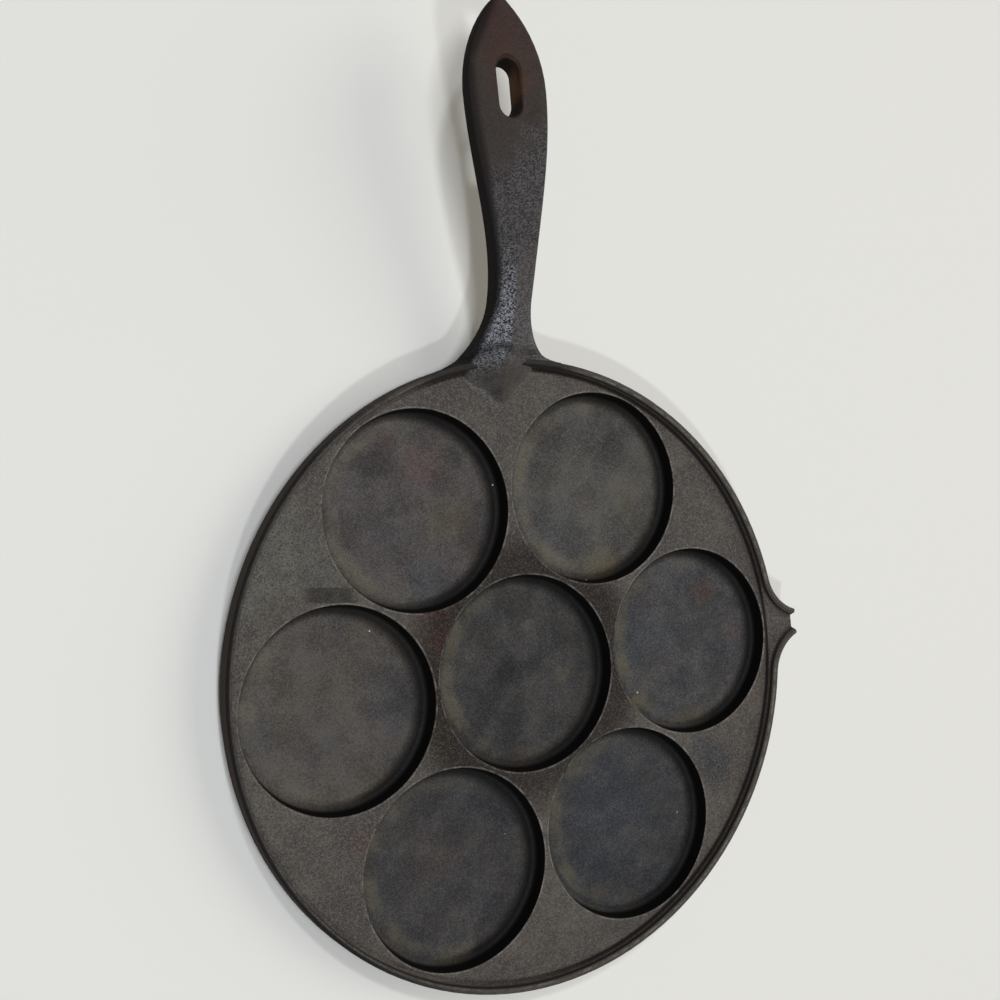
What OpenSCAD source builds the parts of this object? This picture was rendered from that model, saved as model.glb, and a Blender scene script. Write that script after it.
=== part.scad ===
// Plett pan: a cast iron griddle with seven shallow round wells for small pancakes.
// Millimetres, +Z up. The origin is the centre of the middle well's underside, which
// rests on the stove. +X points to the pouring lip and +Y runs along the handle.
// The pan is one casting, so its regions are solids that meet face to face.

/* [Wells] */
// Diameter of a well at its mouth
well_d = 74.8; // [60:0.2:92]
// Narrowest web of plate between two wells
web_w = 2.2; // [1.4:0.1:8]
// Depth of a well below the plate's top
well_depth = 6.1; // [5.2:0.1:12]
// Draft of a well's wall, in degrees
well_draft = 8; // [1:0.5:12]
// Fillet between a well's wall and its floor
well_fillet = 2.2; // [0.4:0.1:3]
// Rounding of a well's worn mouth
mouth_round = 0.4; // [0.2:0.05:0.6]
// Thickness of a well's floor
floor_t = 3.4; // [2.4:0.1:6]
// Thickness of a well's wall below the plate, at its foot
well_wall = 2.4; // [1.6:0.1:4]

/* [Plate and rim] */
// Thickness of the plate between the wells
plate_t = 4.2; // [3:0.1:5]
// Radius of the plate's lower edge
plate_round = 1.2; // [0.4:0.1:1.8]
// Clear plate from an outer well's mouth to the rim's inner wall
rim_margin = 2.5; // [1.8:0.1:12]
// Thickness of the rim
rim_w = 2.3; // [1.8:0.1:5]
// Height of the rim above the plate
rim_h = 3.4; // [2.6:0.1:10]
// Rounding of the rim's two top edges
rim_round = 0.9; // [0.2:0.05:0.95]
// Fillet at the foot of the rim's inner wall
rim_fillet = 1.2; // [0.4:0.1:1.4]

/* [Pouring lip] */
// How far the lip's two horns stand out from the rim
lip_reach = 10.3; // [6:0.1:16]
// Width across the horns' tips
lip_w = 10.6; // [8:0.1:20]
// Radius of the hollow flanks that lead from the rim to the horns
lip_flank_r = 19; // [14:0.5:30]
// Thickness of a horn near its tip
horn_w = 2.1; // [1:0.1:2.4]
// Fillet at the foot of a horn, which rounds the trough
trough_fillet = 2.5; // [1.3:0.1:2.5]
// Lean of a horn's inner side at its tip, in degrees
trough_lean = 28; // [0:1:35]
// How much the lip thins from below towards its end
lip_taper = 1.6; // [0.5:0.1:2.4]

/* [Handle] */
// Length from the rim's outer wall to the handle's point
handle_len = 126.3; // [100:0.1:200]
// Greatest width of the grip
grip_w = 32.3; // [24:0.1:40]
// Width of the neck
neck_w = 16; // [12:0.1:22]
// Radius of the hollow flare from the neck into the rim
flare_r = 24; // [12:0.5:40]
// Height of the level grip's top above the plate's top
grip_rise = 31; // [18:0.5:60]
// How quickly the handle climbs: length in which the remaining rise falls to a third
climb_len = 25; // [18:0.5:40]
// Distance from the rim to the end of the neck
neck_end = 22.5; // [20:0.5:30]
// Distance from the grip's widest place to the point
tip_len = 33.5; // [24:0.5:40]
// Thickness of the grip
grip_t = 8.5; // [7:0.1:12]
// Thickness of the neck below its edges
neck_t = 10; // [9:0.1:12]
// Height of the grip's straight side
grip_side = 4.4; // [3:0.1:6]
// Height of the neck's straight side
neck_side = 6.2; // [4:0.1:8]
// Length beyond the rim in which the straight side grows to two thirds of its height
side_grow = 4; // [2:0.5:8]
// Rounding of the handle's top edges
grip_round = 1.3; // [0.5:0.1:2]

/* [Handle root] */
// Height of the ridge over the handle's edges where it crosses the rim
ridge_h = 8; // [4:0.5:11]
// Length in which the ridge fades to a third of its height
ridge_fade = 13; // [6:0.5:20]
// Crown that is left on the grip
grip_crown = 0.5; // [0.2:0.1:1.5]
// How far inside the rim's outer wall the ridge comes down to the plate
ridge_reach = 15.8; // [10:0.1:18]
// Distance outside the rim at which the ridge bends down to the plate
ridge_bend = 4.2; // [1:0.1:6]
// Fall of the gusset's flanks for each millimetre off the ridge
flank_fall = 0.62; // [0.4:0.02:1]
// Size of the fillet at the foot of the gusset's flanks
flank_fillet = 3; // [1:0.1:5]

/* [Hanging hole] */
// Width of the hanging hole
hole_w = 9.4; // [6:0.1:14]
// Length of the hanging hole
hole_l = 21.4; // [16:0.1:30]
// Distance from the hole's middle to the handle's point
hole_back = 32.6; // [28:0.1:50]
// How far the hole lies off the handle's middle, towards the lip's side
hole_x = 0.6; // [-1.5:0.1:1.5]
// How far each end of the hole leans in towards the underside
hole_lean = 1.5; // [0:0.1:2.5]
// Worn edge round the hole
hole_edge = 0.8; // [0.2:0.1:1.2]

/* [Hidden] */

// Smoothness of round shapes, and how far a cut runs past a face
$fn = 180;
cut = 1;
// Points on a small rounded edge, on a facet of the handle, on its underside and on a
// round end of the hanging hole
edge_steps = 4;
facet_steps = 7;
belly_steps = 5;
hole_steps = 16;
// Spacing of the handle's sections along the neck and the grip, and near the rim
station = 2.5;
root_station = 1.3;

// Plan of the wells
well_r = well_d / 2;
well_pitch = well_d + web_w;

// Heights
plate_top = floor_t + well_depth;
plate_low = plate_top - plate_t;
rim_top = plate_top + rim_h;

// Radii of the rim
rim_in_r = well_pitch + well_r + rim_margin;
rim_out_r = rim_in_r + rim_w;

// Radius of a well's wall at a height, from its mouth down
function wall_r(z) = well_r - (plate_top - z) * tan(well_draft);
boss_r = wall_r(floor_t) + well_wall;

// Lip: the flank is an arc that is tangent to the rim and ends at a horn's tip
tip_x = rim_out_r + lip_reach;
tip_y = lip_w / 2;
tip_r = norm([tip_x, tip_y]);
flank_r0 = rim_out_r + lip_flank_r;
flank_turn = acos((flank_r0 * flank_r0 + tip_r * tip_r - lip_flank_r * lip_flank_r)
    / (2 * flank_r0 * tip_r));
lip_a = atan2(tip_y, tip_x) + flank_turn;
flank_c = [flank_r0 * cos(lip_a), flank_r0 * sin(lip_a)];
flank_a0 = lip_a + 180;
flank_a1 = atan2(tip_y - flank_c[1], tip_x - flank_c[0]) + 360;
flank_steps = 14;
nose_steps = 3;

// Handle: places along +Y
root_y = rim_out_r;
tip_end_y = root_y + handle_len;
wide_y = tip_end_y - tip_len;
neck_y = root_y + neck_end;
ridge_y = root_y - ridge_reach;
bend_y = root_y + ridge_bend;
hole_y = tip_end_y - hole_back;
// The flare is an arc that is tangent to the rim and to the neck's side
flare_x = neck_w / 2 + flare_r;
flare_y = sqrt(pow(rim_out_r + flare_r, 2) - flare_x * flare_x);
flare_end = [flare_x, flare_y] * rim_out_r / (rim_out_r + flare_r);
// Half of the angle that the flare takes on the rim
root_a = atan2(flare_end[0], flare_end[1]);

function ease(t) = (1 - cos(180 * min(1, max(0, t)))) / 2;
function mix(a, b, t) = a + (b - a) * t;
// The greater of two heights, with a fillet where they come closer than k
function filleted(a, b, k) = max(a, b) + pow(max(0, k - abs(a - b)), 2) / (4 * k);

// Arc as a list of points, from angle a to angle b about a centre
function arc(c, r, a, b, n) = [for (i = [0:n]) c + r * [cos(mix(a, b, i / n)), sin(mix(a, b, i / n))]];

// Half width of the handle in plan
function half_w(y) =
    y <= flare_end[1] ? flare_end[0] :
    y < flare_y ? flare_x - sqrt(flare_r * flare_r - pow(flare_y - y, 2)) :
    y < wide_y ? mix(neck_w, grip_w, ease((y - flare_y) / (wide_y - flare_y))) / 2 :
    grip_w / 2 * pow(1 - pow((y - wide_y) / tip_len, 2), 0.8);

// Height of the handle's edges: a climb that levels off
function edge_z(y) = plate_top + grip_rise - (grip_rise - rim_h) * exp((root_y - y) / climb_len);

// Height of the ridge: it fades along the neck, and runs straight down inside the bend
function fading_z(y) = edge_z(y) + grip_crown + (ridge_h - grip_crown) * exp((root_y - y) / ridge_fade);
function ridge_z(y) = y > bend_y ? fading_z(y)
    : mix(plate_top, fading_z(bend_y), (y - ridge_y) / (bend_y - ridge_y));

// Height of the top at a distance off the ridge. Along the handle it is a flat facet that
// falls from the ridge to the edge. Inside the bend it turns into a narrow wedge, whose
// flanks run out in a fillet on the handle's shoulders and on the plate.
sink = 0.3;
function wedge_share(y) = ease((bend_y - y) / (bend_y - root_y));
function top_z(x, y) =
    mix(mix(ridge_z(y), edge_z(y), x / half_w(y)),
        filleted(ridge_z(y) - flank_fall * x, max(edge_z(y), plate_top - sink), flank_fillet),
        wedge_share(y));

// Share of the way from the neck to the grip, and the thinning at the point
function grip_share(y) = ease((y - neck_y) / (wide_y - neck_y));
function point_share(y) = max(0, (y - wide_y) / tip_len);
function side_share(y) = (1 - exp(min(0, root_y - y) / side_grow)) * (1 - 0.25 * point_share(y));
function side_z(y) = edge_z(y)
    - max(edge_round(y), mix(neck_side, grip_side, grip_share(y)) * side_share(y));
function belly_z(y) = edge_z(y) - mix(neck_t, grip_t, grip_share(y)) * (1 - 0.3 * pow(point_share(y), 2));

// Section of the rim, as distance in from its outer wall and height above the plate: its
// inner side, which may lean, from the top down to the toe of the fillet, and the whole
// section
function rim_inner(t, e, fillet, lean) =
    let (side = (rim_h - e + e * sin(lean) - fillet * (1 - sin(lean))) / cos(lean),
        foot = t - e + (e + fillet) * cos(lean) + side * sin(lean))
    concat(arc([t - e, rim_h - e], e, 90, lean, edge_steps),
        arc([foot, fillet], fillet, 180 + lean, 270, edge_steps));
function rim_section(t, fillet, lean) =
    let (e = min(rim_round, 0.42 * t))
    concat([[0, 0]], arc([e, rim_h - e], e, 180, 90, edge_steps), rim_inner(t, e, fillet, lean));

// Rounding of the handle's top edges: the rim's own at the root, the grip's beyond the flare
function edge_round(y) = min(0.4 * half_w(y),
    mix(rim_round, grip_round, ease((y - flare_end[1]) / (flare_y - flare_end[1]))));

// Right half of the handle's section at a place along it: the top from the ridge outward,
// the rounded edge, the straight side and the belly. No point of the top lies below the
// floor, which is the rim's top outside the pan.
function handle_half(y, floor_z, low) =
    let (w = half_w(y), edge = max(edge_z(y), floor_z), e = edge_round(y),
        side = max(low, side_z(y)), belly = max(low, belly_z(y)))
    concat(
        [for (i = [1:facet_steps]) let (x = 0.8 * w * pow(i / facet_steps, 1.3))
            [x, max(floor_z, top_z(x, y))]],
        [for (i = [0:edge_steps]) let (a = 90 - 90 * i / edge_steps)
            [w - e + e * cos(a), edge - e + e * sin(a)]],
        [for (i = [0:belly_steps - 1]) let (a = 90 * i / belly_steps)
            [w * cos(a), side - (side - belly) * sin(a)]]);

function handle_ring(y, floor_z, low) =
    let (half = handle_half(y, floor_z, low), n = len(half))
    concat([[0, y, ridge_z(y)]],
        [for (p = half) [p[0], y, p[1]]],
        [[0, y, max(low, belly_z(y))]],
        [for (i = [n - 1:-1:0]) [-half[i][0], y, half[i][1]]]);

// Skin over a list of rings of equal length, closed at both ends
module loft(rings) {
    n = len(rings[0]);
    last = len(rings) - 1;
    polyhedron(
        points = [for (r = rings, p = r) p],
        faces = concat(
            [[for (j = [0:n - 1]) j]],
            [[for (j = [n - 1:-1:0]) last * n + j]],
            [for (i = [0:last - 1], j = [0:n - 1])
                [i * n + j, (i + 1) * n + j, i * n + (j + 1) % n]],
            [for (i = [0:last - 1], j = [0:n - 1])
                [(i + 1) * n + j, (i + 1) * n + (j + 1) % n, i * n + (j + 1) % n]]));
}

// Tool that cuts a well: floor, fillet, drafted wall and rounded mouth
module well_cutter() {
    fillet_z = floor_t + well_fillet;
    fillet_x = well_r - (well_fillet + (plate_top - fillet_z) * sin(well_draft)) / cos(well_draft);
    mouth_x = well_r + mouth_round * (1 - sin(well_draft)) / cos(well_draft);
    rotate_extrude()
        polygon(concat([[0, floor_t]],
            arc([fillet_x, fillet_z], well_fillet, -90, -well_draft, edge_steps + 2),
            arc([mouth_x, plate_top - mouth_round], mouth_round, 180 - well_draft, 90, edge_steps),
            [[mouth_x, plate_top + cut], [0, plate_top + cut]]));
}

module at_outer_well(a) {
    rotate([0, 0, a]) translate([well_pitch, 0, 0]) children();
}

// One sixth of the plate: a sector of a disc with a rounded lower edge. It runs from the
// middle of one outer well to the middle of the next, so it is cut by these two and by
// the middle well.
module plate_sector(a) {
    turn = 30;
    color("#4a4340")
    difference() {
        rotate([0, 0, a - turn])
            rotate_extrude(angle = 2 * turn)
                polygon(concat([[well_r / 2, plate_low]],
                    arc([rim_out_r - plate_round, plate_low + plate_round], plate_round,
                        -90, 0, edge_steps),
                    [[rim_out_r, plate_top], [well_r / 2, plate_top]]));
        well_cutter();
        for (side = [-turn, turn]) at_outer_well(a + side) well_cutter();
    }
}

// The dish under the plate that closes one well
module well_dish(tint) {
    color(tint)
    difference() {
        intersection() {
            cylinder(r1 = boss_r, r2 = boss_r + plate_low * tan(well_draft), h = plate_low);
            children();
        }
        well_cutter();
    }
}

// The part of the plane that is nearer to an outer well than to any other. The well is
// at the origin and the pan's middle lies on -X.
module outer_cell() {
    a = well_pitch / 2;
    b = a * tan(30);
    far = 2 * well_pitch;
    translate([0, 0, -cut])
        linear_extrude(plate_low + 2 * cut)
            polygon([[-a, b], [-a, -b],
                [-a + far * cos(30), -b - far * sin(30)],
                [-a + far * cos(30), b + far * sin(30)]]);
}

module well_centre() {
    well_dish("#33343a")
        translate([0, 0, -cut]) rotate([0, 0, 30])
            cylinder(r = well_pitch / sqrt(3), h = plate_low + 2 * cut, $fn = 6);
}

module outer_well(a, tint) {
    at_outer_well(a) well_dish(tint) outer_cell();
}

// The rim's ring, open over the pouring lip
module rim_ring() {
    profile = [for (p = rim_section(rim_w, rim_fillet, 0)) [rim_out_r - p[0], plate_top + p[1]]];
    rotate([0, 0, lip_a])
        rotate_extrude(angle = 360 - 2 * lip_a)
            polygon(profile);
}

// Corner that makes the rim's outer edge square where the handle's flare is flush with it
module root_corner() {
    corner = [rim_out_r - rim_round, rim_top - rim_round];
    rotate([0, 0, 90 - root_a])
        rotate_extrude(angle = 2 * root_a)
            translate(corner) square(rim_round);
}

module rim() {
    color("#463f3c") {
        rim_ring();
        root_corner();
    }
}

// Everything inside the pan's outer wall, with the plate's rounded lower edge
module inside_wall() {
    far = 2 * grip_rise;
    rotate_extrude()
        polygon(concat([[0, plate_low - cut], [rim_out_r - plate_round, plate_low - cut]],
            arc([rim_out_r - plate_round, plate_low + plate_round], plate_round, -90, 0, edge_steps),
            [[rim_out_r, plate_top + far], [0, plate_top + far]]));
}

// Section of a horn's wall: the rim's own section, which leans and takes a larger fillet
// towards the tip, where the nose shrinks to a round end
function horn_ring(i) =
    let (t = min(1, i / flank_steps), a = mix(flank_a0, flank_a1, t),
        nose = max(0, i - flank_steps) / nose_steps,
        shrink = sqrt(1 - pow(0.96 * nose, 2)),
        w = mix(rim_w, horn_w, ease(t)),
        f = mix(rim_fillet, trough_fillet, ease(t)),
        lean = trough_lean * ease(t),
        away = nose * 0.3 * horn_w)
    [for (p = rim_section(w, f, lean))
        let (q = [w / 2 + (p[0] - w / 2) * shrink, p[1] * mix(1, 0.75, nose * nose)])
        [flank_c[0] + (lip_flank_r + q[0]) * cos(a) - away * sin(a),
         flank_c[1] + (lip_flank_r + q[0]) * sin(a) + away * cos(a),
         plate_top + q[1]]];

module horn() {
    loft([for (i = [0:flank_steps + nose_steps]) horn_ring(i)]);
}

// Floor of the lip in plan: from the plate's edge out between the two flanks
module lip_outline() {
    side = arc(flank_c, lip_flank_r, flank_a0, flank_a1, flank_steps);
    inner = arc([0, 0], rim_out_r, -lip_a, lip_a, 2 * flank_steps);
    n = len(side);
    polygon(concat(inner, side, [for (i = [n - 1:-1:0]) [side[i][0], -side[i][1]]]));
}

module pouring_lip() {
    color("#463f3c") {
        difference() {
            translate([0, 0, plate_low]) linear_extrude(plate_t) lip_outline();
            inside_wall();
            translate([rim_out_r, -rim_out_r / 2, plate_low])
                rotate([0, -atan(lip_taper / lip_reach), 0])
                    translate([-cut, 0, -plate_t])
                        cube([lip_reach + 4 * cut, rim_out_r, plate_t]);
        }
        horn();
        mirror([0, 1, 0]) horn();
    }
}

// The space over the plate and the rim, as wide as the rim
module over_rim() {
    inner = [for (p = rim_inner(rim_w, rim_round, rim_fillet, 0)) [rim_out_r - p[0], plate_top + p[1]]];
    n = len(inner);
    far = plate_top + grip_rise;
    rotate_extrude()
        polygon(concat([[0, plate_top]], [for (i = [n - 1:-1:0]) inner[i]],
            [[rim_out_r, rim_top], [rim_out_r, far], [0, far]]));
}

// Places of the handle's sections: even along its length, closer towards the point. The
// gusset shares those near the rim, so that its facets run on into the handle's.
function even(a, b, step) =
    let (n = max(1, ceil((b - a) / step))) [for (i = [0:n - 1]) mix(a, b, i / n)];
tip_steps = 12;
root_stations = even(flare_end[1], bend_y, root_station);
gusset_stations = concat(even(ridge_y - 3, flare_end[1], root_station), root_stations, [bend_y]);
handle_stations = concat(root_stations, even(bend_y, wide_y, station),
    [for (i = [0:tip_steps]) wide_y + tip_len * sin(85.5 * i / tip_steps)]);

// The wedge that carries the handle's ridge over the rim and down to the plate
module root_gusset() {
    // All that lies below the plate's top is cut away, so the sections reach down freely
    deep = -2 * grip_rise;
    color("#57504b")
    intersection() {
        loft([for (y = gusset_stations) handle_ring(y, deep, deep)]);
        over_rim();
    }
}

// Outline of the hanging hole at a height: a slot with round ends
function hole_ring(l, z) = [for (s = [1, -1], i = [0:hole_steps])
    let (a = 180 * i / hole_steps)
    [s * hole_w / 2 * cos(a), s * ((l - hole_w) / 2 + hole_w / 2 * sin(a)), z]];

// Tool that cuts the hanging hole, whose ends lean in towards the underside
module hole_cutter() {
    loft([hole_ring(hole_l - 2 * hole_lean, belly_z(hole_y) - cut),
        hole_ring(hole_l, ridge_z(hole_y) + cut)]);
}

// Worn mouth of the hanging hole: a funnel on the same plan that widens towards +Z
module hole_mouth() {
    low_r = hole_w / 2 - hole_edge;
    high_r = hole_w / 2 + 2 * hole_edge;
    rise = high_r - low_r;
    run = hole_l - hole_w;
    rotate([90, 0, 0])
        linear_extrude(run, center = true)
            polygon([[-low_r, 0], [low_r, 0], [high_r, rise], [-high_r, rise]]);
    for (s = [-1, 1]) translate([0, s * run / 2, 0]) cylinder(r1 = low_r, r2 = high_r, h = rise);
}

module handle() {
    color("#3d322f")
    difference() {
        loft([for (y = handle_stations) handle_ring(y, rim_top, plate_low)]);
        inside_wall();
        translate([hole_x, hole_y, 0]) hole_cutter();
        translate([hole_x, hole_y, ridge_z(hole_y) - 2 * hole_edge]) hole_mouth();
    }
}

plate_sector(30);  // plate_30
plate_sector(90);  // plate_90
plate_sector(150);  // plate_150
plate_sector(210);  // plate_210
plate_sector(270);  // plate_270
plate_sector(330);  // plate_330
well_centre();
outer_well(0, "#33353c");  // well_0
outer_well(60, "#38322f");  // well_60
outer_well(120, "#3b3332");  // well_120
outer_well(180, "#3d3735");  // well_180
outer_well(240, "#34353a");  // well_240
outer_well(300, "#2f3238");  // well_300
rim();
pouring_lip();
root_gusset();
handle();
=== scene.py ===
"""Plett pan: the finishes of a cast iron griddle with seven shallow wells, and its studio."""
import math

import bpy
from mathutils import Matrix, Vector


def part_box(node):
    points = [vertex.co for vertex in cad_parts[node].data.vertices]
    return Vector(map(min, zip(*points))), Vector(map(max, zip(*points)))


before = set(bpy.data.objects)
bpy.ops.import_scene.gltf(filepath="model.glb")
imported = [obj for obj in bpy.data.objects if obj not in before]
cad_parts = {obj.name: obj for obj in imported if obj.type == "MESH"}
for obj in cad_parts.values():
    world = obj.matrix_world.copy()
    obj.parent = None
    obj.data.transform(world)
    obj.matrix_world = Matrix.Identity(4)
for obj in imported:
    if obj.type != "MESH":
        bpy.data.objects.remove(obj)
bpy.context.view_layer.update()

MM = 0.001

PLATES = ["plate_30", "plate_90", "plate_150", "plate_210", "plate_270", "plate_330"]

# Places that the finishes follow, in millimetres, read from the model's parts
PLATE_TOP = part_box("plate_30")[1].z / MM
RIM_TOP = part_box("rim")[1].z / MM
RIM_RADIUS = -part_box("rim")[0].x / MM
WELL_PITCH = (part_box("well_centre")[1].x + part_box("well_0")[0].x) / MM
# The radius of a well's mouth, and how high its floor lies
MOUTH_RADIUS = 37.4
WELL_FLOOR = 3.4
# Where the handle springs from the rim, and its ridge across the pan, at the foot and on
# the neck
ROOT = (0, 116)
RIDGE_FOOT = -3.2
RIDGE_NECK = -0.6
# The flame bakes the plate blackest within the first radius, and no more beyond the second
HOT_RADIUS = 42
WARM_RADIUS = 58

# Baked linseed or lard on iron is a hard dark varnish, so the finishes are dielectrics. Soot
# is porous and mirrors next to nothing.
OIL_IOR = 1.5
SOOT_IOR = 1.15
SOOT_ROUGHNESS = 0.85
# Soot in the wells is thick and black. On the rim's walls it is rubbed thin.
THICK_SOOT = "#0a0908"
THIN_SOOT = "#38312d"
# Grains of moulding sand, in millimetres. Real ones are 0.2 to 0.4: drawn a little coarser,
# so that they show at this distance, and coarser still on the neck and in the pitted patch.
GRAIN = 0.42
COARSE_GRAIN = 0.48
# How much a face looks up, from 0 to 1: up to the first it is a wall, from the second on a top
WALL_FACING = 0.3
TOP_FACING = 0.72
# How much the grains stand out, in millimetres: on the plate, in the wells and on the handle
PLATE_RELIEF = 0.06
WELL_RELIEF = 0.03
HANDLE_RELIEF = 0.12
# Interpolation of a share that eases in and out
SOFT = "SMOOTHSTEP"


def linear(colour):
    """An sRGB hex colour as linear RGBA."""
    channels = [int(colour[i:i + 2], 16) / 255 for i in (1, 3, 5)]
    return [c / 12.92 if c <= 0.04045 else ((c + 0.055) / 1.055) ** 2.4 for c in channels] + [1]


def add(tree, kind, inputs=None, output=None, **settings):
    """Adds a node with its settings and links, and returns the output that is asked for.
    A colour may be given in hex."""
    node = tree.nodes.new("ShaderNode" + kind)
    for name, value in settings.items():
        setattr(node, name, value)
    sockets = [s for s in node.inputs if s.enabled]
    for key, value in (inputs or {}).items():
        named = (s for s in sockets if s.name == key)
        socket = sockets[key] if isinstance(key, int) else next(named)
        if isinstance(value, bpy.types.NodeSocket):
            tree.links.new(value, socket)
        else:
            socket.default_value = linear(value) if isinstance(value, str) else value
    outputs = [s for s in node.outputs if s.enabled and output in (None, s.name)]
    return outputs[0] if outputs else node


def step(low, high, value, start=0.0, end=1.0):
    """Inputs of a Map Range node that goes from start at low to end at high."""
    return {"Value": value, "From Min": low, "From Max": high, "To Min": start, "To Max": end}


def place_mm(tree):
    """A point's place on the pan in millimetres, so that a finish runs on from piece to piece."""
    place = add(tree, "TexCoord", output="Object")
    return add(tree, "VectorMath", {"Vector": place, "Scale": 1 / MM}, operation="SCALE")


def plan_distance(tree, place, middle=(0, 0)):
    """Distance in plan from a point to another place, or else to the middle of the pan."""
    plan = add(tree, "VectorMath", {0: place, 1: (1, 1, 0)}, operation="MULTIPLY")
    return add(tree, "VectorMath", {0: plan, 1: (*middle, 0)}, output="Value",
               operation="DISTANCE")


def well_distance(tree, place):
    """Distance in plan from a point to the middle of the nearest well."""
    nearest = plan_distance(tree, place)
    for turn in range(0, 360, 60):
        angle = math.radians(turn)
        middle = (WELL_PITCH * math.cos(angle), WELL_PITCH * math.sin(angle))
        away = plan_distance(tree, place, middle)
        nearest = add(tree, "Math", {0: nearest, 1: away}, operation="MINIMUM")
    return nearest


def line_at(tree, value, middle, half_width, fade):
    """1 where a value is within half a width of its middle, with soft ends."""
    off = add(tree, "Math", {0: value, 1: middle}, operation="SUBTRACT")
    off = add(tree, "Math", {0: off}, operation="ABSOLUTE")
    return add(tree, "MapRange", step(half_width + fade, half_width, off),
               interpolation_type=SOFT)


def between(tree, value, low, high, fade):
    """1 between two values, with soft ends."""
    above = add(tree, "MapRange", step(low - fade, low, value), interpolation_type=SOFT)
    below = add(tree, "MapRange", step(high + fade, high, value), interpolation_type=SOFT)
    return add(tree, "Math", {0: above, 1: below}, operation="MULTIPLY")


def patch(tree, place, middle, radius):
    """How much a point lies in a ragged round patch: 1 in its middle, 0 outside. Its edge
    wanders and fades by shares of its radius."""
    ragged, fade = 0.6, 0.9
    away = add(tree, "VectorMath", {0: place, 1: middle}, output="Value", operation="DISTANCE")
    wander = add(tree, "TexNoise", {"Vector": place, "Scale": 1.6 / radius, "Detail": 3})
    pushed = add(tree, "Math", {0: wander, 1: 2 * ragged * radius, 2: away},
                 operation="MULTIPLY_ADD")
    edge = radius * (1 + ragged)
    return add(tree, "MapRange", step(edge, edge - fade * radius, pushed),
               interpolation_type=SOFT)


def stained(tree, colour, stains):
    """Lays stains over a colour: each says where it lies, and has a strength and a tint."""
    for share, strength, tint in stains:
        share = add(tree, "Math", {0: share, 1: strength}, operation="MULTIPLY")
        colour = add(tree, "Mix", {"Factor": share, "A": colour, "B": tint}, data_type="RGBA")
    return colour


def patched(tree, place, colour, patches, height, middle=(0, 0)):
    """Lays ragged patches over a colour, all at one height. Each has its place from a
    middle, a radius, a tint and a strength."""
    return stained(tree, colour, [
        (patch(tree, place, (middle[0] + x, middle[1] + y, height), radius), strength, tint)
        for x, y, radius, tint, strength in patches])


def dulled(tree, gloss, causes):
    """Scales gloss where each cause works, to the share of it that is left there. Over 1
    the iron is rubbed brighter."""
    for cause, left in causes:
        share = add(tree, "MapRange", step(0, 1, cause, 1, left))
        gloss = add(tree, "Math", {0: gloss, 1: share}, operation="MULTIPLY")
    return gloss


def sand(tree, place, size):
    """Grains of sand, each with a brightness of its own and domed: a random value and a
    height, both from 0 to 1."""
    cells = {"Vector": place, "Scale": 1 / size}
    tint = add(tree, "TexVoronoi", cells, output="Color")
    grain = add(tree, "SeparateColor", {"Color": tint}, output="Red")
    off = add(tree, "TexVoronoi", cells, output="Distance")
    return grain, add(tree, "MapRange", step(0.0, 0.8, off, 1, 0))


def speckled(tree, colour, grain, pale, dark, strength):
    """Sand grains over a colour: the high ones rubbed pale, the pits between them dark."""
    rubbed = add(tree, "MapRange", step(0.55, 1.0, grain, 0, strength))
    colour = add(tree, "Mix", {"Factor": rubbed, "A": colour, "B": pale}, data_type="RGBA")
    pits = add(tree, "MapRange", step(0.45, 0.0, grain, 0, strength))
    return add(tree, "Mix", {"Factor": pits, "A": colour, "B": dark}, data_type="RGBA")


def new_finish(name):
    """A new material and its node tree, which is still empty."""
    finish = bpy.data.materials.new(name)
    finish.use_nodes = True
    finish.node_tree.nodes.clear()
    return finish, finish.node_tree


def surface(tree, colour, roughness, height, relief, soot, gloss):
    """Joins a finish in one shader. height goes from 0 to 1, over a relief in millimetres.
    gloss is the share of bare varnish between the pits, which hold soot. Steep and hidden
    faces are left as the flame makes them, under dull dark soot."""
    facing = add(tree, "TexCoord", output="Normal")
    up = add(tree, "SeparateXYZ", {"Vector": facing}, output="Z")
    up = add(tree, "MapRange", step(WALL_FACING, TOP_FACING, up), interpolation_type=SOFT)
    colour = add(tree, "Mix", {"Factor": up, "A": soot, "B": colour}, data_type="RGBA")
    roughness = add(tree, "MapRange", step(0, 1, up, SOOT_ROUGHNESS, roughness))
    varnish = add(tree, "Math", {0: up, 1: gloss}, operation="MULTIPLY")
    ior = add(tree, "MapRange", step(0, 1, varnish, SOOT_IOR, OIL_IOR))
    bump = add(tree, "Bump", {"Height": height, "Distance": relief * MM, "Strength": 1.0})
    shader = add(tree, "BsdfPrincipled", {"Base Color": colour, "Roughness": roughness,
                                          "Normal": bump, "IOR": ior})
    add(tree, "OutputMaterial", {"Surface": shader})


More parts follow.
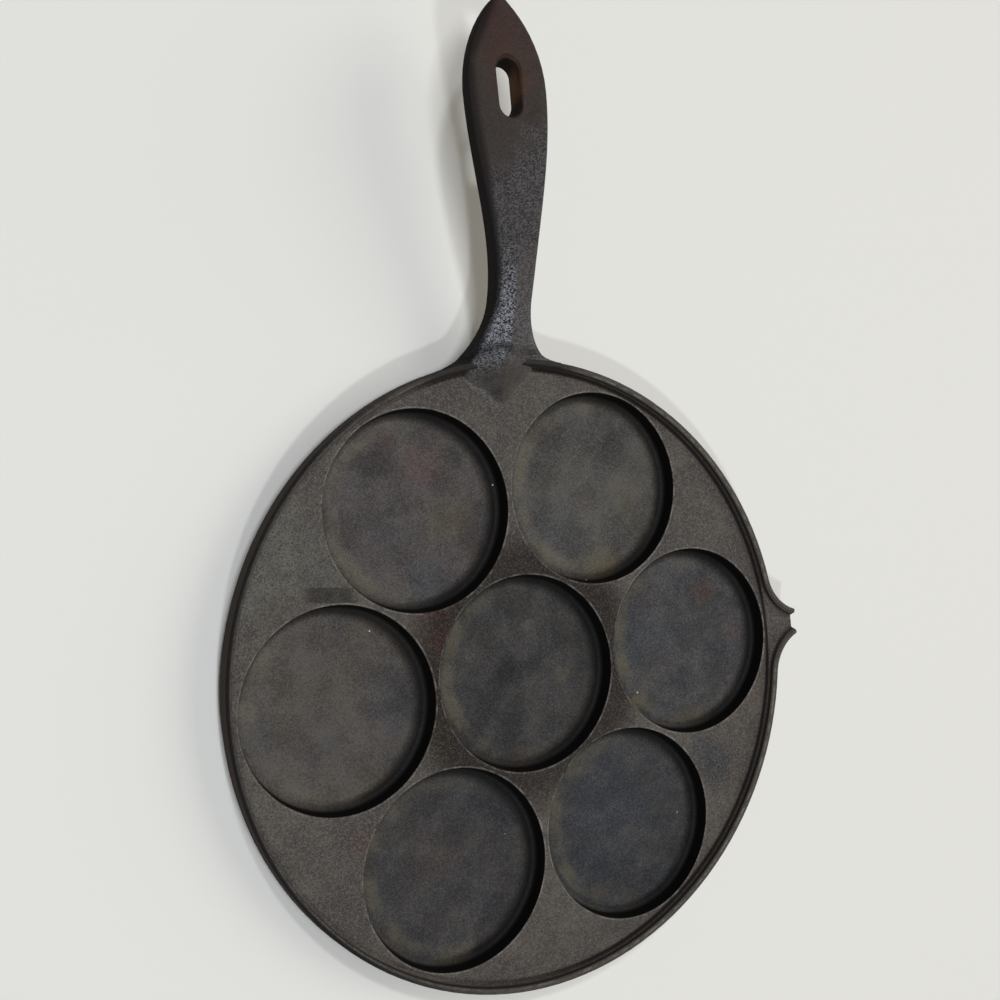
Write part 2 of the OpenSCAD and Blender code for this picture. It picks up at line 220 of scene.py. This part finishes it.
def brown_skin(tree, place):
    """Brown grey of iron under baked oil: broad clouds, small blotches and placed stains.
    The webs round the middle well, where the flame is hottest, are baked darkest."""
    clouds = add(tree, "TexNoise", {"Vector": place, "Scale": 1 / 24, "Detail": 4})
    clouds = add(tree, "MapRange", step(0.42, 0.58, clouds))
    colour = add(tree, "Mix", {"Factor": clouds, "A": "#332e2b", "B": "#443f39"},
                 data_type="RGBA")
    blotches = add(tree, "TexNoise", {"Vector": place, "Scale": 1 / 4, "Detail": 5})
    blotches = add(tree, "MapRange", step(0.45, 0.62, blotches, 0, 0.4))
    colour = add(tree, "Mix", {"Factor": blotches, "A": colour, "B": "#282423"},
                 data_type="RGBA")
    hot = add(tree, "MapRange", step(WARM_RADIUS, HOT_RADIUS, plan_distance(tree, place)),
              interpolation_type=SOFT)
    colour = stained(tree, colour, [(hot, 0.75, "#1d1918")])
    return patched(tree, place, colour, [
        # Rust red, blue grey and olive in the webs round the middle well
        (-37, 30, 12, "#2e1b18", 0.7), (-36, 18, 8, "#321c1a", 0.7),
        (38, 0, 12, "#29262b", 0.6), (-38, -18, 12, "#25221a", 0.6),
        # Paler below the handle and at the top right, burnt blue at the lower right
        (10, 88, 16, "#3e3a33", 0.5), (80, -50, 16, "#191d26", 0.8),
        (106, -27, 9, "#4a4038", 0.5), (-101, -48, 11, "#272421", 0.5),
        (-72, -50, 10, "#38241f", 0.6), (60, 100, 26, "#3c372f", 0.5),
    ], PLATE_TOP)


def root_marks(tree, place, colour, grain):
    """Marks at the handle's root: painted shade along the crease across the gusset, a painted
    shadow at its foot, and pale worn borders on its left."""
    x, y = (add(tree, "SeparateXYZ", {"Vector": place}, output=axis) for axis in "XY")
    # The crease's painted shade follows part of a circle, and only shows on the gusset
    crease_shade = line_at(tree, plan_distance(tree, place, (-5, 110)), 13.5, 0.4, 1.5)
    on_gusset = add(tree, "MapRange", step(112, 118, y), interpolation_type=SOFT)
    for limit in (between(tree, x, -10, 0, 3), on_gusset):
        crease_shade = add(tree, "Math", {0: crease_shade, 1: limit}, operation="MULTIPLY")
    # Painted shadow at the gusset's foot
    foot = patch(tree, place, (-1.5, 107.5, PLATE_TOP), 5)
    colour = stained(tree, colour, [(crease_shade, 0.75, "#121110"), (foot, 0.7, "#0f0e0e")])
    # Each border runs between two x. It has a direction straight across it, and lies so far
    # that way from the middle of the pan.
    for across, reach, low, high in (((0.531, 0.847, 0), 87.65, -13, -6),
                                     ((0.700, 0.714, 0), 72.3, -6, -1.5)):
        away = add(tree, "VectorMath", {0: place, 1: across}, output="Value",
                   operation="DOT_PRODUCT")
        border = line_at(tree, away, reach, 0.25, 0.9)
        rubbed = add(tree, "MapRange", step(0.2, 0.9, grain, 0.2, 0.8))
        for limit in (between(tree, x, low, high, 1.0), rubbed):
            border = add(tree, "Math", {0: border, 1: limit}, operation="MULTIPLY")
        colour = stained(tree, colour, [(border, 0.6, "#6f6c6c")])
    return colour


def near_root(tree, place):
    """1 on the rim beside the handle's root."""
    return add(tree, "MapRange", step(42, 24, plan_distance(tree, place, ROOT)),
               interpolation_type=SOFT)


def rim_painted_shade(tree, place):
    """Soft black painted shade along the rim's foot, thick on the right, where its inner wall
    faces away from the light, and thin on the left, and on the outer edge of its top on the
    left, where no light falls."""
    x = add(tree, "SeparateXYZ", {"Vector": place}, output="X")
    radius = plan_distance(tree, place)
    # Painted shade along the foot, thicker towards the right
    foot = add(tree, "MapRange", step(RIM_RADIUS - 5.0, RIM_RADIUS - 3.7, radius),
               interpolation_type=SOFT)
    inner_wall = add(tree, "MapRange", step(RIM_RADIUS - 2.4, RIM_RADIUS - 3.0, radius),
                     interpolation_type=SOFT)
    rightward = add(tree, "MapRange", step(-60, 20, x, 0.1, 1.0))
    for limit in (inner_wall, rightward):
        foot = add(tree, "Math", {0: foot, 1: limit}, operation="MULTIPLY")
    # Painted shade on the outer edge of the top, on the left
    outer_edge = add(tree, "MapRange", step(RIM_RADIUS - 1.5, RIM_RADIUS - 1.0, radius),
                     interpolation_type=SOFT)
    leftward = add(tree, "MapRange", step(-30, -80, x, 0.0, 0.9))
    left_edge_shade = add(tree, "Math", {0: outer_edge, 1: leftward}, operation="MULTIPLY")
    shade_share = add(tree, "Math", {0: foot, 1: left_edge_shade}, operation="MAXIMUM")
    # Beside the handle the painted shade fills the whole corner
    shaded_corner = between(tree, radius, RIM_RADIUS - 3.6, RIM_RADIUS - 2.6, 1.2)
    for limit in (near_root(tree, place), 0.75):
        shaded_corner = add(tree, "Math", {0: shaded_corner, 1: limit}, operation="MULTIPLY")
    return add(tree, "Math", {0: shade_share, 1: shaded_corner}, operation="MAXIMUM")


def rim_look(tree, place, colour):
    """Painted shade in the corner at the rim's foot, a top painted darker on the left, where no
    light falls, and a painted highlight along the inner edge, stronger towards the right."""
    x, z = (add(tree, "SeparateXYZ", {"Vector": place}, output=axis) for axis in "XZ")
    top = add(tree, "MapRange", step(RIM_TOP - 1.0, RIM_TOP - 0.3, z), interpolation_type=SOFT)
    # Painted shade: the top is painted darker towards the left, where no light falls
    rightward = add(tree, "MapRange", step(-100, -20, x), interpolation_type=SOFT)
    tone = add(tree, "Mix", {"Factor": rightward, "A": "#151311", "B": "#35312d"},
               data_type="RGBA")
    mottles = add(tree, "TexNoise", {"Vector": place, "Scale": 1 / 3, "Detail": 4})
    mottles = add(tree, "MapRange", step(0.42, 0.6, mottles, 0, 0.45))
    root = near_root(tree, place)
    for share, tint in ((mottles, "#1c1917"), (root, "#1d1a18")):
        tone = add(tree, "Mix", {"Factor": share, "A": tone, "B": tint}, data_type="RGBA")
    colour = add(tree, "Mix", {"Factor": top, "A": colour, "B": tone}, data_type="RGBA")
    # Painted highlight along the rim's inner edge, stronger towards the right, broken here and
    # there
    edge = line_at(tree, plan_distance(tree, place), RIM_RADIUS - 1.85, 0.15, 0.3)
    breaks = add(tree, "TexNoise", {"Vector": place, "Scale": 1 / 3.5, "Detail": 5})
    edge = add(tree, "Math", {0: edge, 1: top}, operation="MULTIPLY")
    for limits in (step(-60, 30, x, 0.2, 0.8), step(0, 1, root, 1, 0),
                   step(0.44, 0.58, breaks, 0.1, 1)):
        limit = add(tree, "MapRange", limits)
        edge = add(tree, "Math", {0: edge, 1: limit}, operation="MULTIPLY")
    colour = add(tree, "Mix", {"Factor": edge, "A": colour, "B": "#6b665f"}, data_type="RGBA")
    # Painted shade along the rim's foot, and on the left on the outer edge of its top
    return stained(tree, colour, [(rim_painted_shade(tree, place), 0.9, "#0d0b0b")])


def mouth_highlights(tree, place, colour, grain):
    """A painted highlight: a thin pale line on a well's mouth, broken here and there. It
    shows on the rounded edges that face left, and hardly on the others."""
    line = line_at(tree, well_distance(tree, place), MOUTH_RADIUS + 0.3, 0.2, 0.3)
    breaks = add(tree, "TexNoise", {"Vector": place, "Scale": 1 / 5, "Detail": 5})
    facing = add(tree, "TexCoord", output="Normal")
    facing = add(tree, "SeparateXYZ", {"Vector": facing}, output="X")
    for limits in (step(0.42, 0.6, breaks, 0.1, 0.8), step(0.25, -0.2, facing, 0.25, 1.0),
                   step(0.1, 0.8, grain, 0.5, 1.0)):
        limit = add(tree, "MapRange", limits)
        line = add(tree, "Math", {0: line, 1: limit}, operation="MULTIPLY")
    return add(tree, "Mix", {"Factor": line, "A": colour, "B": "#827d78"}, data_type="RGBA")


def pitted_patch(tree, place, colour):
    """Bare light grey iron near the left edge, full of small dark pits, with a dark smear
    of old batter below it whose upper border a scraper left straight. The smear is
    returned with the colour."""
    grain, _ = sand(tree, place, COARSE_GRAIN)
    pits = add(tree, "MapRange", step(0.34, 0.22, grain))
    pitted = add(tree, "Mix", {"Factor": pits, "A": "#55574f", "B": "#1b1918"},
                 data_type="RGBA")
    clouds = add(tree, "TexNoise", {"Vector": place, "Scale": 1 / 8, "Detail": 4})
    clouds = add(tree, "MapRange", step(0.42, 0.6, clouds, 0, 0.5))
    pitted = add(tree, "Mix", {"Factor": clouds, "A": pitted, "B": "#3c3733"},
                 data_type="RGBA")
    # How far a point lies from the middle of the pan, straight across the scraper's line
    away = add(tree, "VectorMath", {0: place, 1: (0.141, 0.99, 0)}, output="Value",
               operation="DOT_PRODUCT")
    x = add(tree, "SeparateXYZ", {"Vector": place}, output="X")
    smear = add(tree, "Math", {0: between(tree, away, 27.5, 32.2, 0.8),
                               1: between(tree, x, -82, -70, 6)}, operation="MULTIPLY")
    bare = patch(tree, place, (-95, 60, PLATE_TOP), 35)
    return stained(tree, colour, [(bare, 0.8, pitted), (smear, 0.7, "#1a1814")]), smear


def sand_cast_iron():
    """Sand-cast iron seasoned with baked oil: a dull brown grey skin with fine light and
    dark specks, rubbed to bare grey and pitted near its left edge."""
    finish, tree = new_finish("sand_cast_iron")
    place = place_mm(tree)
    x, y, z = (add(tree, "SeparateXYZ", {"Vector": place}, output=axis) for axis in "XYZ")
    radius = plan_distance(tree, place)
    root = near_root(tree, place)
    grain, height = sand(tree, place, GRAIN)
    colour = speckled(tree, brown_skin(tree, place), grain, "#645e57", "#191614", 0.34)
    colour, smear = pitted_patch(tree, place, colour)
    # Below the handle's root the plate keeps some of the rough bare grain of the neck
    high = add(tree, "MapRange", step(0.5, 1.0, grain))
    bare_grain = add(tree, "Mix", {"Factor": high, "A": "#1c1a18", "B": "#625e59"},
                     data_type="RGBA")
    rough = patch(tree, place, (-2, 110, PLATE_TOP), 11)
    colour = stained(tree, colour, [(rough, 0.4, bare_grain)])
    colour = root_marks(tree, place, colour, grain)
    # Painted shade and highlights on the rim, painted highlights on the wells' mouths
    colour = mouth_highlights(tree, place, rim_look(tree, place, colour), grain)
    on_rim = add(tree, "MapRange", step(RIM_RADIUS - 4.3, RIM_RADIUS - 3.6, radius),
                 interpolation_type=SOFT)
    soot = add(tree, "Mix", {"Factor": on_rim, "A": THICK_SOOT, "B": THIN_SOOT},
               data_type="RGBA")
    # Painted highlight: the top of the rim's inner wall is painted pale on the right, so that
    # it shines as the top does
    inner_top_highlight = add(tree, "MapRange", step(RIM_TOP - 1.3, RIM_TOP - 0.7, z),
                  interpolation_type=SOFT)
    rightward = add(tree, "MapRange", step(-30, 30, x), interpolation_type=SOFT)
    off_root = add(tree, "MapRange", step(0, 1, root, 1, 0))
    for limit in (rightward, off_root):
        inner_top_highlight = add(tree, "Math", {0: inner_top_highlight, 1: limit}, operation="MULTIPLY")
    soot = stained(tree, soot, [(inner_top_highlight, 0.8, "#77726a")])
    # Over the hottest flame the plate is dull, a little less so between the two lower wells
    hot = add(tree, "MapRange", step(WARM_RADIUS, HOT_RADIUS, radius), interpolation_type=SOFT)
    lower = add(tree, "MapRange", step(-30, -46, y, 1, 0.72))
    hot = add(tree, "Math", {0: hot, 1: lower}, operation="MULTIPLY")
    # The rim's last stretch beside the handle is dull, and sooty plate on the lower right
    rim_end = add(tree, "Math", {0: root, 1: on_rim}, operation="MULTIPLY")
    sooty = patch(tree, place, (82, -50, PLATE_TOP), 13)
    gloss = add(tree, "MapRange", step(0, 1, grain, 0.5, 1.0))
    # Gloss is taken away under the rim's painted shade too
    gloss = dulled(tree, gloss, [(hot, 0.12), (rim_painted_shade(tree, place), 0.1), (rim_end, 0.5),
                                 (smear, 0.6), (sooty, 0.75)])
    roughness = add(tree, "MapRange", step(0, 1, grain, 0.64, 0.5))
    surface(tree, colour, roughness, height, PLATE_RELIEF, soot, gloss)
    return finish


def baked_iron(node, shine, deep, pale, stains, dull):
    """The same iron in a well, rubbed smooth and blackened by years of baked batter: a blue
    grey to brown satin skin, with a pale crescent near the floor's edge, widest on the left."""
    finish, tree = new_finish("baked_iron_" + node)
    place = place_mm(tree)
    x, z = (add(tree, "SeparateXYZ", {"Vector": place}, output=axis) for axis in "XZ")
    middle = Vector(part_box(node)[0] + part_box(node)[1]) / 2 / MM
    out = plan_distance(tree, place, (middle.x, middle.y))
    grain, height = sand(tree, place, GRAIN)
    clouds = add(tree, "TexNoise", {"Vector": place, "Scale": 1 / 20, "Detail": 5})
    clouds = add(tree, "MapRange", step(0.42, 0.58, clouds))
    colour = add(tree, "Mix", {"Factor": clouds, "A": deep, "B": pale}, data_type="RGBA")
    # Scraped and oiled blotches, brown ones and blue grey ones
    for size, detail, tint in ((7, 5, "#3d3936"), (9, 3, "#1c1e23")):
        blotches = add(tree, "TexNoise", {"Vector": place, "Scale": 1 / size, "Detail": detail})
        blotches = add(tree, "MapRange", step(0.5, 0.66, blotches, 0, 0.5))
        colour = add(tree, "Mix", {"Factor": blotches, "A": colour, "B": tint},
                     data_type="RGBA")
    colour = patched(tree, place, colour, stains, WELL_FLOOR, middle)
    # The crescent is widest on the left
    crescent = line_at(tree, out, 32.0, 1.6, 3.0)
    worn = add(tree, "TexNoise", {"Vector": place, "Scale": 1 / 14, "Detail": 4})
    for limits in (step(0.42, 0.6, worn, 0.2, 1),
                   step(middle.x + 10, middle.x - 28, x, 0.12, 0.7)):
        limit = add(tree, "MapRange", limits)
        crescent = add(tree, "Math", {0: crescent, 1: limit}, operation="MULTIPLY")
    colour = add(tree, "Mix", {"Factor": crescent, "A": colour, "B": "#4d493b"},
                 data_type="RGBA")
    colour = speckled(tree, colour, grain, "#4b4744", "#0f0e0e", 0.32)
    # Painted shade gathers in the corner, over a broader band on the right
    inner = add(tree, "MapRange", step(middle.x - 5, middle.x + 22, x, 33.0, 29.5))
    shaded_corner = add(tree, "MapRange", step(inner, 35.3, out), interpolation_type=SOFT)
    rightward = add(tree, "MapRange", step(middle.x - 25, middle.x + 10, x, 0.35, 1.0))
    shaded_corner = add(tree, "Math", {0: shaded_corner, 1: rightward}, operation="MULTIPLY")
    colour = stained(tree, colour, [(shaded_corner, 0.8, "#0c0b0b")])
    # Crumbs of less than a millimetre: the few that come to lie just at the floor show
    crumbs = add(tree, "TexVoronoi", {"Vector": place, "Scale": 1 / 13}, output="Distance")
    crumbs = add(tree, "MapRange", step(0.032, 0.022, crumbs))
    colour = add(tree, "Mix", {"Factor": crumbs, "A": colour, "B": "#b8b2a4"},
                 data_type="RGBA")
    wall = add(tree, "MapRange", step(WELL_FLOOR + 0.1, WELL_FLOOR + 1.3, z),
               interpolation_type=SOFT)
    colour = add(tree, "Mix", {"Factor": wall, "A": colour, "B": "#080707"}, data_type="RGBA")
    gloss = add(tree, "TexNoise", {"Vector": place, "Scale": 1 / 12, "Detail": 5})
    gloss = add(tree, "MapRange", step(0.42, 0.6, gloss, 0.75, 1.15))
    by_grain = add(tree, "MapRange", step(0, 1, grain, 0.7 * shine, 1.3 * shine))
    gloss = add(tree, "Math", {0: gloss, 1: by_grain}, operation="MULTIPLY")
    gloss = dulled(tree, gloss, [(shaded_corner, 0.1)] + [
        (patch(tree, place, (middle.x + dx, middle.y + dy, WELL_FLOOR), radius), 1 - amount)
        for dx, dy, radius, amount in dull])
    roughness = add(tree, "MapRange", step(0, 1, grain, 0.56, 0.46))
    surface(tree, colour, roughness, height, WELL_RELIEF, THICK_SOOT, gloss)
    return finish


# How far the varnish of each well's floor is bare of soot, its deep and pale tone, its
# stains, each with its place from the middle, radius, tint and strength, and where soot
# dulls it, with place, radius and amount, which is negative where it is rubbed brighter
WELL_LOOKS = {
    "well_centre": (0.53, "#18191d", "#232222", [
        (5, 17, 4, "#45423a", 0.7), (18, -4, 5, "#3f3a2f", 0.7), (-4, -34, 9, "#2b1f1b", 0.8),
        (-6, 2, 9, "#121214", 0.6)], [(-6, 2, 9, 0.25), (27, 0, 14, 0.2)]),
    "well_0": (0.68, "#181d25", "#29282a", [
        (-15, 5, 17, "#202831", 0.6), (12, 18, 9, "#33201e", 0.7), (26, 0, 8, "#332423", 0.6),
        (-27, -22, 4, "#5f5636", 0.9), (0, -35, 10, "#3a342a", 0.8)], [(-15, 5, 15, -0.12)]),
    # Painted reflection: in this well the dark stains at the top, at (-9, 19) and (9, 20), and
    # the dulling there, are the dark room mirrored, not stains
    "well_60": (0.92, "#23211f", "#34312c", [
        (2, -35, 14, "#423c26", 0.9), (-9, 19, 17, "#1a1718", 0.8), (9, 20, 15, "#1b1819", 0.8),
        (-16, -15, 17, "#1a2027", 0.7), (15, -5, 14, "#3b382b", 0.7)],
        [(-9, 19, 17, 0.22), (9, 20, 15, 0.22), (15, -6, 14, -0.1), (-16, -17, 14, 0.12)]),
    # Painted reflection: in this well the dark stains at (-14, 16) and (14, 8), and the dulling
    # there, are the dark room mirrored, not stains
    "well_120": (0.84, "#221e1f", "#302a29", [
        (16, -5, 13, "#403b29", 0.6), (7, 17, 13, "#3c2321", 0.55), (-8, 28, 9, "#3a2623", 0.5),
        (4, -28, 17, "#1e232c", 0.65), (-14, 16, 13, "#191617", 0.7),
        (14, 8, 7, "#1a1718", 0.7)], [(-14, 16, 12, 0.2), (14, 9, 9, 0.25), (24, -16, 12, 0.2)]),
    "well_180": (0.95, "#2a2521", "#38322c", [
        (-9, 6, 20, "#322d22", 0.6), (10, -34, 10, "#373223", 0.7),
        (27, -3, 22, "#151923", 0.75)], [(28, -3, 19, 0.35)]),
    "well_240": (0.62, "#1b1c21", "#292626", [
        (-3, 3, 15, "#2d2621", 0.5), (20, 20, 14, "#171b25", 0.6),
        (-2, -34, 9, "#3e362a", 0.8)], [(22, 18, 14, 0.25)]),
    "well_300": (0.57, "#161b23", "#24262b", [
        (-5, 9, 20, "#161f2b", 0.6), (0, -34, 9, "#282520", 0.6)], [(24, 0, 14, 0.15)]),
}


def held_iron():
    """The handle's iron: coarse bare grain near the pan, where nobody holds it, with painted
    glints on its facets, and a smooth reddish brown grip that hands have polished, with rust
    in the hanging hole."""
    finish, tree = new_finish("held_iron")
    place = place_mm(tree)
    x, y = (add(tree, "SeparateXYZ", {"Vector": place}, output=axis) for axis in "XY")
    coarse, bumps = sand(tree, place, COARSE_GRAIN)
    fine, dimples = sand(tree, place, GRAIN)
    # The polish reaches lower on the left of the grip than on the right, with a wavy border
    reach = add(tree, "Math", {0: x, 1: -0.7, 2: y}, operation="MULTIPLY_ADD")
    waves = add(tree, "TexNoise", {"Vector": place, "Scale": 1 / 13, "Detail": 4})
    reach = add(tree, "Math", {0: waves, 1: 40.0, 2: reach}, operation="MULTIPLY_ADD")
    held = add(tree, "MapRange", step(200, 222, reach), interpolation_type=SOFT)
    # The right facet and the gusset's foot are smoother than the left facet
    ridge = add(tree, "MapRange", step(108, 125, y, RIDGE_FOOT, RIDGE_NECK))
    off_ridge = add(tree, "Math", {0: x, 1: ridge}, operation="SUBTRACT")
    left = add(tree, "MapRange", step(0.8, -0.8, off_ridge), interpolation_type=SOFT)
    neck = add(tree, "MapRange", step(104, 128, y), interpolation_type=SOFT)
    rough = add(tree, "Math", {0: left, 1: neck}, operation="MULTIPLY")
    rough = add(tree, "MapRange", step(0, 1, rough, 0.3, 1.0))
    upper = add(tree, "MapRange", step(146, 164, y), interpolation_type=SOFT)
    rough = add(tree, "Math", {0: rough, 1: upper}, operation="MAXIMUM")
    # The handle's left edge: 8 mm off the middle on the neck, 15.5 on the grip, and it comes
    # back in at the tip and goes out at the flare
    edge = add(tree, "MapRange", step(150, 205, y, -8, -15.5))
    for bend in (step(222, 246, y, 0, 13), step(138, 114, y, 0, -7)):
        moved = add(tree, "MapRange", bend)
        edge = add(tree, "Math", {0: edge, 1: moved}, operation="ADD")
    inward = add(tree, "Math", {0: x, 1: edge}, operation="SUBTRACT")
    # Painted light on the bare grains: painted shade at that edge and below the crease,
    # painted glints brightest on the neck
    lit = add(tree, "MapRange", step(0.3, 3.0, inward, 0.08, 1.0))
    for limits in (step(136, 160, y, 1.0, 0.26), step(113, 120, y, 0.38, 1.0)):
        limit = add(tree, "MapRange", limits)
        lit = add(tree, "Math", {0: lit, 1: limit}, operation="MULTIPLY")
    # Painted glints: the grains' tops are painted pale grey where lit
    glint_share = add(tree, "MapRange", step(0.2, 0.95, coarse))
    glint_share = add(tree, "Math", {0: glint_share, 1: lit}, operation="MULTIPLY")
    pits = add(tree, "Mix", {"Factor": upper, "A": "#1b1a1b", "B": "#2b292a"}, data_type="RGBA")
    glint_colour = add(tree, "Mix", {"Factor": upper, "A": "#8e9099", "B": "#8b8a8c"}, data_type="RGBA")
    bare = add(tree, "Mix", {"Factor": glint_share, "A": pits, "B": glint_colour}, data_type="RGBA")
    # Below the crease the gusset's bare grain is painted browner and darker
    foot = add(tree, "MapRange", step(121, 112, y), interpolation_type=SOFT)
    bare = stained(tree, bare, [(foot, 0.55, "#2a2521")])
    skin = speckled(tree, brown_skin(tree, place), fine, "#5f5a54", "#171412", 0.25)
    colour = add(tree, "Mix", {"Factor": rough, "A": skin, "B": bare}, data_type="RGBA")
    colour = root_marks(tree, place, colour, fine)
    # The grip's polished skin, with rust round the hole
    clouds = add(tree, "TexNoise", {"Vector": place, "Scale": 1 / 12, "Detail": 4})
    clouds = add(tree, "MapRange", step(0.4, 0.6, clouds))
    palm = add(tree, "Mix", {"Factor": clouds, "A": "#251b18", "B": "#2c2421"},
               data_type="RGBA")
    palm = stained(tree, palm, [(patch(tree, place, (2, 236, 40), 16), 0.8, "#2f1b18"),
                                (patch(tree, place, (-6, 196, 37), 16), 0.6, "#2a2622")])
    palm = speckled(tree, palm, fine, "#453d38", "#14110f", 0.2)
    at_hole = patch(tree, place, (4, 214, 36), 9)
    rust = patch(tree, place, (1, 221, 38), 15)
    palm = stained(tree, palm, [(rust, 0.5, "#3a2319"), (at_hole, 0.8, "#4a2e17")])
    colour = add(tree, "Mix", {"Factor": held, "A": colour, "B": palm}, data_type="RGBA")
    height = add(tree, "Mix", {"Factor": held, "A": bumps, "B": dimples}, data_type="FLOAT")
    flatter = add(tree, "MapRange", step(0, 1, held, 1.0, 0.25))
    height = add(tree, "Math", {0: height, 1: flatter}, operation="MULTIPLY")
    roughness = add(tree, "MapRange", step(0, 1, rough, 0.5, 0.36))
    roughness = add(tree, "Mix", {"Factor": held, "A": roughness, "B": 0.5}, data_type="FLOAT")
    # Painted shade on the left edge, away from the palm, over the few millimetres that round down
    border = add(tree, "MapRange", step(150, 200, y, 2.4, 4.5))
    rounded_edge_shade = add(tree, "MapRange", step(border, 0.4, inward), interpolation_type=SOFT)
    colour = stained(tree, colour, [(rounded_edge_shade, 0.75, "#0f0d0d")])
    soot = add(tree, "Mix", {"Factor": at_hole, "A": "#1b1918", "B": "#523d2a"},
               data_type="RGBA")
    smooth_gloss = add(tree, "MapRange", step(0, 1, fine, 0.3, 0.55))
    glints = add(tree, "MapRange", step(0.1, 0.9, coarse, 0.1, 0.85))
    glints = add(tree, "Math", {0: glints, 1: lit}, operation="MULTIPLY")
    palm_gloss = add(tree, "MapRange", step(0, 1, fine, 0.28, 0.42))
    gloss = add(tree, "Mix", {"Factor": rough, "A": smooth_gloss, "B": glints},
                data_type="FLOAT")
    gloss = add(tree, "Mix", {"Factor": held, "A": gloss, "B": palm_gloss}, data_type="FLOAT")
    # The turner rubs the gusset's foot brighter
    gloss = dulled(tree, gloss, [(rounded_edge_shade, 0.15), (foot, 1.4)])
    surface(tree, colour, roughness, height, HANDLE_RELIEF, soot, gloss)
    return finish


def dress(nodes, finish):
    """Puts a finish on pieces of the pan."""
    for node in nodes:
        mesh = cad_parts[node].data
        mesh.materials.clear()
        mesh.materials.append(finish)


dress(PLATES + ["rim", "pouring_lip"], sand_cast_iron())
dress(["root_gusset", "handle"], held_iron())
for well, look in WELL_LOOKS.items():
    dress([well], baked_iron(well, *look))


# Studio: a plain pale floor and four lamps, which stand where the photograph's shadows put
# them: two small ones in front and behind, a soft one overhead and a broad one on the right.
# Next to nothing shines from the left, so that side of the rim, wells and handle is dark.
# Sizes are in metres.
FLOOR_HALF = 2.4
FLOOR_TONE = "#ebece8"
FLOOR_ROUGHNESS = 0.9
LAMP_DISTANCE = 2.4
# Direction towards each lamp, its size, its share of the light on the floor, and its colour
LAMPS = {
    "front": ((-0.23, -0.62, 0.75), 0.18, 0.17, "#fbfcff"),
    "behind": ((-0.13, 0.53, 0.84), 0.22, 0.16, "#fbfcff"),
    "overhead": ((-0.20, 0.07, 0.98), 0.65, 0.33, "#fbfcff"),
    "right": ((0.80, 0.05, 0.60), 2.30, 0.29, "#fff6e8"),
}
# The sky's faint light, and how bright it shows behind the floor and in mirrors
SKY_SHARE = 0.06
BACKDROP = 0.75
BACKDROP_TONE = "#f6f8fa"


def pale_floor():
    """A plain matt floor at z = 0, on which the wells' undersides stand."""
    corners = [(-1, -1), (1, -1), (1, 1), (-1, 1)]
    mesh = bpy.data.meshes.new("floor")
    mesh.from_pydata([(FLOOR_HALF * x, FLOOR_HALF * y, 0) for x, y in corners], [], [range(4)])
    floor = bpy.data.objects.new("floor", mesh)
    bpy.context.scene.collection.objects.link(floor)
    finish, tree = new_finish("pale_floor")
    shader = add(tree, "BsdfPrincipled", {"Base Color": FLOOR_TONE, "Roughness": FLOOR_ROUGHNESS})
    add(tree, "OutputMaterial", {"Surface": shader})
    mesh.materials.append(finish)


def soft_lamp(name, toward, size, share, colour):
    """An area lamp that gives its share of the light at which a white floor is just white."""
    toward = Vector(toward).normalized()
    lamp = bpy.data.lights.new(name, "AREA")
    lamp.size = size
    lamp.color = linear(colour)[:3]
    lamp.energy = share * math.pi ** 2 * LAMP_DISTANCE ** 2 / toward.z
    stand = bpy.data.objects.new(name, lamp)
    stand.location = toward * LAMP_DISTANCE
    stand.rotation_euler = toward.to_track_quat("Z", "Y").to_euler()
    bpy.context.scene.collection.objects.link(stand)


def studio_sky():
    """A faint fill all round, behind a pale backdrop that only shows and mirrors."""
    world = bpy.data.worlds.new("studio")
    bpy.context.scene.world = world
    world.use_nodes = True
    tree = world.node_tree
    tree.nodes.clear()
    shown = add(tree, "LightPath", output="Is Camera Ray")
    for kind in ("Is Glossy Ray", "Is Transmission Ray"):
        ray = add(tree, "LightPath", output=kind)
        shown = add(tree, "Math", {0: shown, 1: ray}, operation="MAXIMUM")
    strength = add(tree, "MapRange", step(0, 1, shown, SKY_SHARE, BACKDROP))
    shader = add(tree, "Background", {"Color": BACKDROP_TONE, "Strength": strength})
    add(tree, "OutputWorld", {"Surface": shader})


pale_floor()
for lamp_name, facts in LAMPS.items():
    soft_lamp(lamp_name, *facts)
studio_sky()

# Camera: where the photograph was taken from, solved from the wells' circles and the rim.
# Its place is in metres, its turn in degrees, and its lens and sensor in millimetres.
CAMERA_PLACE = (-0.24587, 0.08726, 0.45422)
CAMERA_TURN = (0.990, -28.566, -6.927)
FOCAL_LENGTH = 48.402
SENSOR = 36.0
NEAREST_SEEN = 0.01

camera = bpy.data.objects.new("camera", bpy.data.cameras.new("camera"))
bpy.context.scene.collection.objects.link(camera)
bpy.context.scene.camera = camera
camera.location = CAMERA_PLACE
camera.rotation_euler = [math.radians(a) for a in CAMERA_TURN]
camera.data.lens = FOCAL_LENGTH
camera.data.sensor_width = SENSOR
camera.data.sensor_fit = "HORIZONTAL"
camera.data.clip_start = NEAREST_SEEN

bpy.context.scene.view_settings.view_transform = "Standard"
